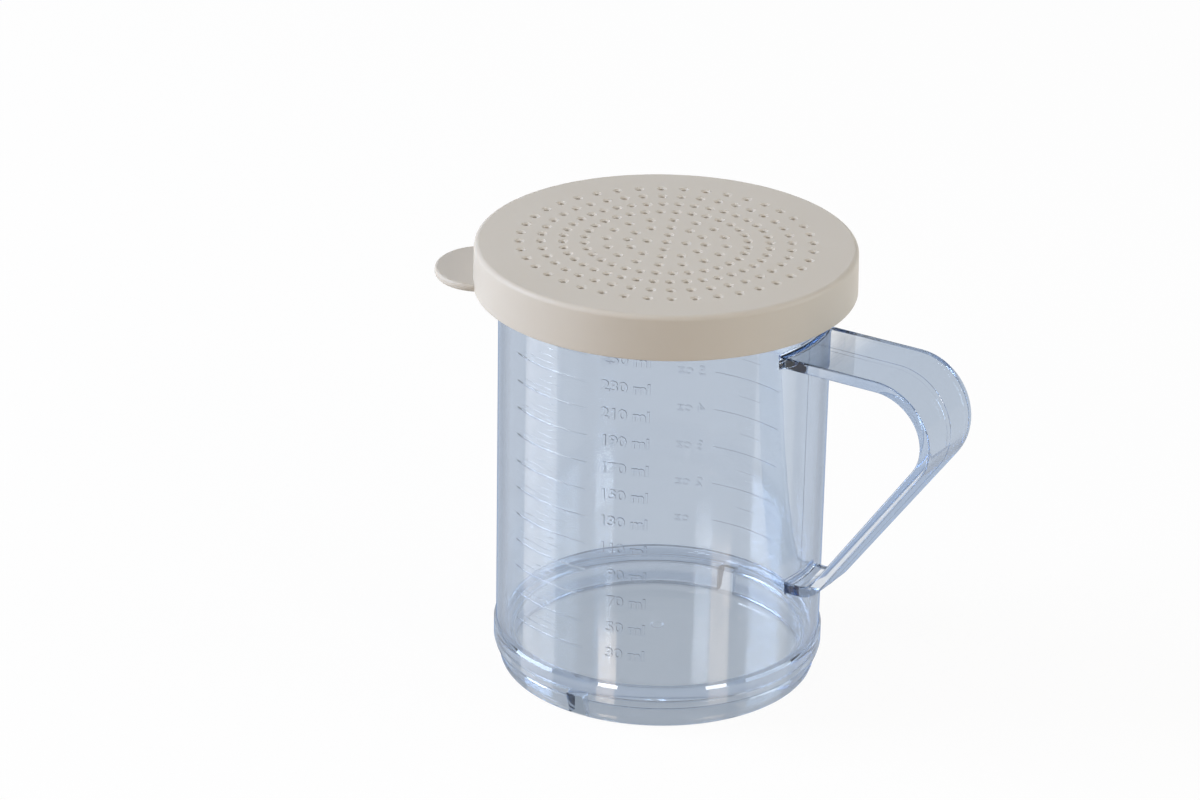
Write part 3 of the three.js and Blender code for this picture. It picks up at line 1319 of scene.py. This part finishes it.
@dataclass
class Lid:
    """Beige press-on lid: perforated top, drafted skirt and thumb tab."""

    top_radius: float = 39.45
    top: float = 94.9
    bottom: float = 85.4
    bottom_radius: float = 39.65
    skirt_inner: float = 37.8
    thickness: float = 1.6
    edge_radius: float = 1.1
    inner_fillet: float = 0.8
    lip_radius: float = 0.3
    hole_radius: float = 0.55
    dimple_radius: float = 1.08
    dimple_depth: float = 0.28
    hole_sides: int = 14
    hole_past: float = 0.5
    inner_pitch: float = 3.99
    outermost: float = 30.2
    inner_counts: tuple[int, ...] = (4, 12)
    outer_counts: tuple[int, ...] = (16, 32, 40, 40, 40)
    row_angle: float = 24.4
    tab_reach: float = 48.1
    tab_length: float = 9.8
    tab_width: float = 22.2
    tab_thickness: float = 1.65
    tab_angle: float = 204.4
    tab_edge: float = 0.6
    tab_segments: int = 72
    segments: int = 192
    corner_steps: int = 8
    crease: float = 40.0
    finish: BeigePlastic = field(default_factory=BeigePlastic)

    def profile(self) -> list[Corner]:
        """Corners of the lid's section, from its underside round to its top.

        Returns:
            The corners.
        """
        under = self.top - self.thickness
        return [
            Corner(0.0, under),
            Corner(self.skirt_inner, under, self.inner_fillet),
            Corner(self.skirt_inner, self.bottom, self.lip_radius),
            Corner(self.bottom_radius, self.bottom, self.lip_radius),
            Corner(self.top_radius, self.top, self.edge_radius),
            Corner(0.0, self.top),
        ]

    def hole(self) -> Workpiece:
        """Cutter for one dimpled hole, on the axis.

        Returns:
            The cutter.
        """
        cutter = Workpiece()
        gain = self.dimple_radius - self.hole_radius
        under = self.top - self.thickness - self.hole_past
        over = self.top + self.hole_past
        corners = [
            Corner(0.0, under),
            Corner(self.hole_radius, under),
            Corner(self.hole_radius, self.top - self.dimple_depth),
            Corner(self.dimple_radius, self.top),
            Corner(self.dimple_radius + gain, over),
            Corner(0.0, over),
        ]
        cutter.outline(corners, 1)
        cutter.turn(self.hole_sides)
        return cutter

    def holes(self) -> Workpiece:
        """Cutters for every hole: the middle one and the rings round it.

        Returns:
            The cutters, as one mesh.
        """
        inner_edge = self.inner_pitch * len(self.inner_counts)
        outer_pitch = (self.outermost - inner_edge) / len(self.outer_counts)
        rings = [(1, 0.0)]
        for ring, count in enumerate(self.inner_counts, start=1):
            rings.append((count, self.inner_pitch * ring))
        for ring, count in enumerate(self.outer_counts, start=1):
            rings.append((count, inner_edge + outer_pitch * ring))
        cutters = Workpiece()
        for count, radius in rings:
            for place in range(count):
                cutter = self.hole()
                cutter.transform(Matrix.Translation(polar(radius, self.row_angle + 360.0 * place / count)))
                cutters.add(cutter)
        return cutters

    def tab(self) -> bpy.types.Object:
        """The oval thumb tab, ending inside the skirt.

        Returns:
            The tab.
        """
        tab = Workpiece()
        bmesh.ops.create_circle(tab.mesh, cap_ends=True, radius=1.0, segments=self.tab_segments)
        tab.transform(Matrix.Diagonal((self.tab_length, self.tab_width / 2, 1.0, 1.0)))
        tab.extrude(Vector((0.0, 0.0, self.tab_thickness)))
        rims = [e for e in tab.mesh.edges if abs(e.verts[0].co.z - e.verts[1].co.z) < WELD]
        tab.round_edges(rims, self.tab_edge)
        tab.transform(Matrix.Translation((self.tab_reach - self.tab_length, 0.0, self.bottom)))
        tab.transform(turned_about_axis(self.tab_angle))
        ends = tab.finish("tab")
        inside = Workpiece()
        skirt_middle = (self.skirt_inner + self.top_radius) / 2
        bmesh.ops.create_cone(
            inside.mesh,
            cap_ends=True,
            segments=self.segments,
            radius1=skirt_middle,
            radius2=skirt_middle,
            depth=4 * self.top,
        )
        Joinery.combine(ends, inside.finish("inside"), "DIFFERENCE")
        return ends

    def build(self, bench: Bench) -> bpy.types.Object:
        """Builds the lid.

        Args:
            bench: the place of the jar's axis.

        Returns:
            The lid.
        """
        turned = Workpiece()
        turned.outline(self.profile(), self.corner_steps)
        turned.turn(self.segments)
        lid = turned.finish("lid_shell")
        Joinery.combine(lid, self.tab(), "UNION")
        Joinery.combine(lid, self.holes().finish("holes"), "DIFFERENCE")
        lid.data.materials.clear()
        lid.data.materials.append(self.finish.material())
        Smoothing(crease=self.crease).apply(lid)
        bench.place(lid)
        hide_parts("lid")
        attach(lid, Body.LID.value)
        return lid


@dataclass(frozen=True)
class Softbox:
    """A rectangular lamp.

    Args:
        name: what the lamp is for.
        azimuth: degrees round the jar, from the handle.
        elevation: degrees above the table.
        distance: metres from the jar.
        width: metres.
        height: metres.
        power: watts.
        colour: the light's colour.
    """

    name: str
    azimuth: float
    elevation: float
    distance: float
    width: float
    height: float
    power: float
    colour: Colour

    def build(self, target: Vector) -> None:
        """Builds the lamp, aimed at the target.

        Args:
            target: the place it shines at, in metres.
        """
        data = bpy.data.lights.new(self.name, "AREA")
        data.shape = "RECTANGLE"
        data.size = self.width
        data.size_y = self.height
        data.energy = self.power
        data.color = self.colour
        lamp = put_in_scene(self.name, data)
        level = self.distance * math.cos(math.radians(self.elevation))
        away = polar(level, self.azimuth, self.distance * math.sin(math.radians(self.elevation)))
        turn = away.to_track_quat("Z", "Y").to_matrix().to_4x4()
        lamp.matrix_world = Matrix.Translation(target + away) @ turn


@dataclass
class Studio:
    """Camera, white table, soft lamps and white background."""

    lens: float = 124.947
    sensor: float = 36.0
    camera_place: tuple[float, float, float] = (407.71454, -679.73038, 413.56858)
    camera_azimuth: float = 31.9
    camera_elevation: float = 24.0949
    camera_roll: float = 1.02075
    camera_far: float = 50.0
    table_size: float = 8.0
    fill: float = 0.27
    fill_colour: Colour = (1.0, 0.92, 0.84)
    lamp_target: float = 45.0
    lamps: tuple[Softbox, ...] = (
        Softbox("window", -152.0, 27.0, 1.5, 0.8, 1.15, 38.0, (0.69, 0.80, 1.0)),
        Softbox("narrow_window", -94.0, 30.0, 1.6, 0.33, 0.3, 6.6, (1.0, 0.96, 0.93)),
        Softbox("side_window", -15.0, 30.0, 1.6, 0.36, 0.4, 6.2, (0.98, 0.96, 0.94)),
        Softbox("far_window", 26.0, 20.0, 1.6, 1.0, 1.0, 16.0, (0.78, 0.89, 1.0)),
        Softbox("ceiling", -60.0, 85.0, 1.8, 1.6, 1.6, 1.2, (0.84, 0.93, 1.0)),
    )
    bounces: int = 48
    glossy_bounces: int = 32
    transmission_bounces: int = 40

    def build(self, bench: Bench) -> None:
        """Builds the whole studio round the jar.

        Args:
            bench: the place of the jar's axis.
        """
        self.camera(bench)
        self.floor(bench)
        self.world()
        for lamp in self.lamps:
            lamp.build(bench.point(Vector((0.0, 0.0, self.lamp_target))))
        self.light_paths()

    def light_paths(self) -> None:
        """Lets light follow the long paths inside the clear plastic."""
        cycles = bpy.context.scene.cycles
        cycles.max_bounces = self.bounces
        cycles.glossy_bounces = self.glossy_bounces
        cycles.transmission_bounces = self.transmission_bounces

    def camera(self, bench: Bench) -> None:
        """Places the camera as the photograph's was.

        Args:
            bench: the place of the jar's axis.
        """
        azimuth = math.radians(self.camera_azimuth)
        elevation = math.radians(self.camera_elevation)
        roll = math.radians(self.camera_roll)
        level = Vector((math.cos(azimuth), math.sin(azimuth), 0.0))
        back = Vector(
            (
                math.sin(azimuth) * math.cos(elevation),
                -math.cos(azimuth) * math.cos(elevation),
                math.sin(elevation),
            )
        )
        rise = level.cross(-back)
        across = math.cos(roll) * level + math.sin(roll) * rise
        upward = -math.sin(roll) * level + math.cos(roll) * rise
        data = bpy.data.cameras.new("camera")
        data.lens = self.lens
        data.sensor_width = self.sensor
        data.sensor_fit = "HORIZONTAL"
        data.clip_end = self.camera_far
        camera = put_in_scene("camera", data)
        turn = Matrix((across, upward, back)).transposed().to_4x4()
        camera.matrix_world = Matrix.Translation(bench.point(Vector(self.camera_place))) @ turn
        bpy.context.scene.camera = camera

    def floor(self, bench: Bench) -> None:
        """Lays the table.

        Args:
            bench: the place of the jar's axis.
        """
        sheet = Workpiece()
        bmesh.ops.create_grid(sheet.mesh, x_segments=1, y_segments=1, size=self.table_size / 2)
        table = sheet.finish("table")
        table.data.materials.append(TableTop(centre=(bench.axis_x, bench.axis_y)).material())
        table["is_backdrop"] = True

    def world(self) -> None:
        """White background, and a soft fill that lights the object."""
        nodes = Nodes(bpy.data.worlds.new("studio"), "ShaderNodeOutputWorld")
        bpy.context.scene.world = nodes.owner
        fill = nodes.add("ShaderNodeBackground", {"Color": self.fill_colour, "Strength": self.fill})
        white = nodes.add("ShaderNodeBackground", {"Color": WHITE, "Strength": 1.0})
        both = nodes.mixed_shader(nodes.seen(), fill.outputs[0], white.outputs[0])
        nodes.put(both, nodes.output.inputs["Surface"])


def write_sizes() -> None:
    """Writes nothing: it only defines a helper that gives a box as plain lists.
    """

    def plain(box: Sequence[Sequence[float]]) -> list[list[float]]:
        """A box as plain lists."""
        return [[float(value) for value in corner] for corner in box]


def main() -> None:
    """Builds the jar, the lid and the studio in order."""
    logging.basicConfig(level=logging.INFO, format="%(name)s: %(message)s")
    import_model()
    cad_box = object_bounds()
    bench = Bench.from_frame(*cad_box)
    bpy.context.scene.view_settings.view_transform = "Standard"
    for piece in (Jar().build(bench), Lid().build(bench)):
        log.info("%s: %d faces", piece.name, len(piece.data.polygons))
    Studio().build(bench)
    log.info("studio: done")
    write_sizes()


if __name__ == "__main__":
    main()
